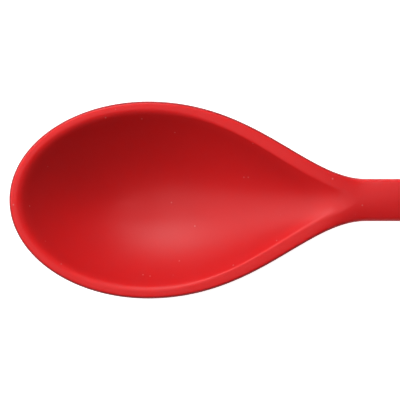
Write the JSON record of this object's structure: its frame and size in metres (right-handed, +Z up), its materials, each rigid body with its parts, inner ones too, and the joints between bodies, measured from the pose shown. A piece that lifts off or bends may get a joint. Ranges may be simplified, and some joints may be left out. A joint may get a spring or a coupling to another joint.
{
  "type": "silicone spoon",
  "caption": "One-colour silicone cooking spoon: deep egg-shaped bowl with a flat rim, a squarish neck and an arched, wider grip with a hanging hole.",
  "frame": {"origin": "on the surface that the spoon lies on, under the middle of its length and width", "axes": "+X along the handle from the bowl's tip to the handle's end, +Y across the bowl, +Z up out of the bowl's hollow"},
  "size_m": [0.3, 0.064, 0.0232],
  "materials": {
    "silicone_red": "satin moulded silicone",
    "nylon_black": "matt moulded",
    "nylon_red": "satin moulded",
    "stainless": "drawn wire"
  },
  "bodies": {
    "root": {"bowl_skin": "silicone_red", "bowl_core": "nylon_black", "core_rod": "stainless", "socket_pin": "stainless", "joint_ring": "nylon_red", "grip_core": "nylon_black", "grip_pin": "stainless", "grip_skin": "silicone_red"}
  },
  "joints": []
}
